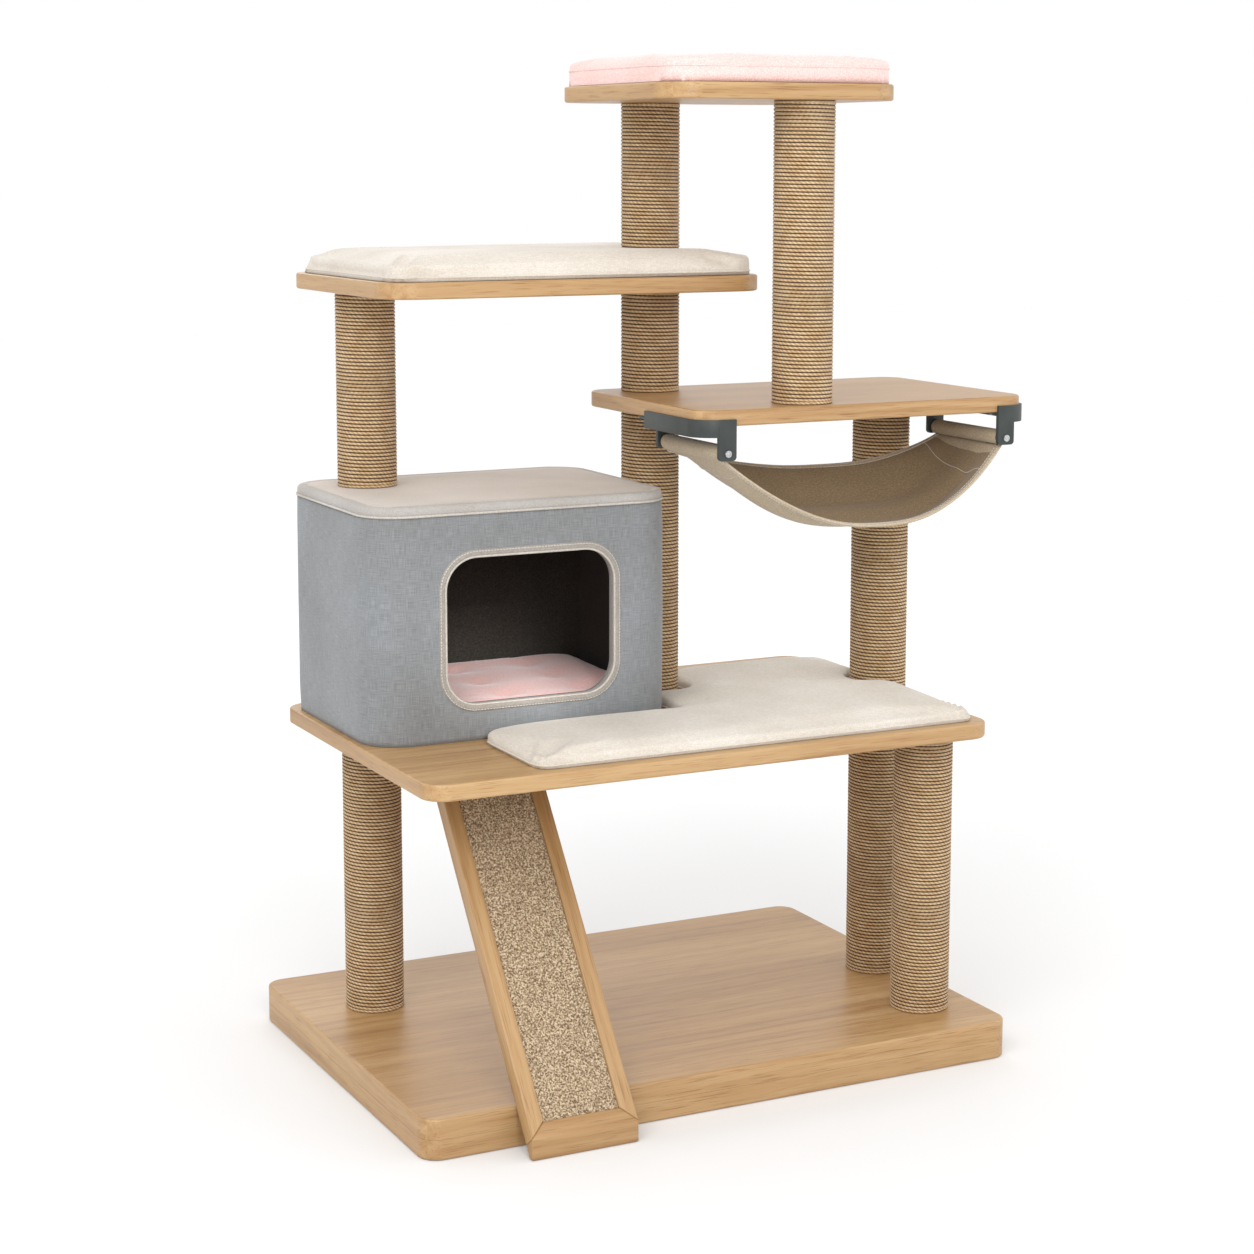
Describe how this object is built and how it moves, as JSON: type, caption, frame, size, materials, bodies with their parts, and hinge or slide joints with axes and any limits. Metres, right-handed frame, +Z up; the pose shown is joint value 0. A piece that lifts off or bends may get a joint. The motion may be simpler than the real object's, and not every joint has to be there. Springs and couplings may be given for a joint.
{
  "type": "cat tree",
  "caption": "Free-standing cat tree: rope-wrapped posts on a thick base carry board shelves, cushions, a fabric cubby, a cloth hammock and a hinged ramp.",
  "frame": {"origin": "centre of the base's underside, on the floor", "axes": "+X along the front, from the ramp's end to the hammock's end; +Y from the front to the back; +Z up"},
  "size_m": [0.914, 0.657, 1.334],
  "materials": {
    "oak_board": "light oak-faced board, matt lacquer, grain along X",
    "sisal_rope": "twisted 5 mm sisal rope, wound edge to edge",
    "paper_tube": "spiral-wound paper tube",
    "plug_wood": "sawn softwood",
    "zinc_steel": "zinc-plated steel",
    "panel_board": "fibreboard, sawn edges",
    "felt_faced_board": "fibreboard faced with charcoal felt",
    "cubby_linen": "blue-grey linen weave",
    "roof_fabric": "taupe weave with a piped seam",
    "lining_felt": "charcoal felt",
    "trim_fabric": "greige padded binding",
    "blush_plush": "short blush-pink plush",
    "cream_fabric": "cream fine weave",
    "hammock_canvas": "beige canvas",
    "bracket_plastic": "slate-grey moulded plastic",
    "bar_wood": "turned beech dowel",
    "ramp_oak": "light oak rails, rounded edges",
    "ramp_carpet": "looped carpet"
  },
  "bodies": {
    "root": {"bar_screws": "zinc_steel", "base_bolts": "zinc_steel", "base_layer_screws": "zinc_steel", "base_lower_board": "oak_board", "base_upper_board": "oak_board", "board_bolts": "zinc_steel", "bracket_screws": "zinc_steel", "cubby_back_wall": "panel_board", "cubby_cover": "cubby_linen", "cubby_cushion": "blush_plush", "cubby_floor": "felt_faced_board", "cubby_front_wall": "panel_board", "cubby_left_wall": "panel_board", "cubby_lining": "lining_felt", "cubby_right_wall": "panel_board", "cubby_roof": "felt_faced_board", "cubby_roof_cover": "roof_fabric", "doorway_trim": "trim_fabric", "hammock_cloth": "hammock_canvas", "hammock_shelf": "oak_board", "hinge_fixed_leaf": "zinc_steel", "hinge_pin": "zinc_steel", "hinge_platform_screws": "zinc_steel", "joining_rods": "zinc_steel", "left_bar": "bar_wood", "left_bracket": "bracket_plastic", "left_lower_post_rope": "sisal_rope", "left_lower_post_tube": "paper_tube", "left_upper_post_rope": "sisal_rope", "left_upper_post_tube": "paper_tube", "middle_centre_post_rope": "sisal_rope", "middle_centre_post_tube": "paper_tube", "middle_lower_post_rope": "sisal_rope", "middle_lower_post_tube": "paper_tube", "middle_upper_post_rope": "sisal_rope", "middle_upper_post_tube": "paper_tube", "perch_post_rope": "sisal_rope", "perch_post_tube": "paper_tube", "platform": "oak_board", "post_plugs": "plug_wood", "right_bar": "bar_wood", "right_bracket": "bracket_plastic", "right_lower_post_rope": "sisal_rope", "right_lower_post_tube": "paper_tube", "shelf": "oak_board", "shelf_cushion": "cream_fabric", "tall_right_post_rope": "sisal_rope", "tall_right_post_tube": "paper_tube", "threaded_inserts": "zinc_steel", "top_board": "oak_board"},
    "ramp": {"ramp_left_rail": "ramp_oak", "ramp_right_rail": "ramp_oak", "ramp_foot_rail": "ramp_oak", "ramp_top_rail": "ramp_oak", "ramp_panel": "panel_board", "ramp_mat": "ramp_carpet", "hinge_ramp_leaf": "zinc_steel", "hinge_ramp_screws": "zinc_steel"},
    "platform_pad": {"platform_cushion": "cream_fabric"},
    "top_pad": {"top_cushion": "blush_plush"}
  },
  "joints": [
    {"name": "ramp_hinge", "type": "hinge", "parent": "root", "child": "ramp", "pos_m": [-0.2345, -0.03883, 0.4396], "axis": [-1, 0, 0], "range_deg": [0, 45]},
    {"name": "top_pad_lift", "type": "slide", "parent": "root", "child": "top_pad", "axis": [0, 0, 1], "range_m": [0, 0.12]},
    {"name": "platform_pad_lift", "type": "slide", "parent": "root", "child": "platform_pad", "axis": [0, 0, 1], "range_m": [0, 0.08]}
  ]
}
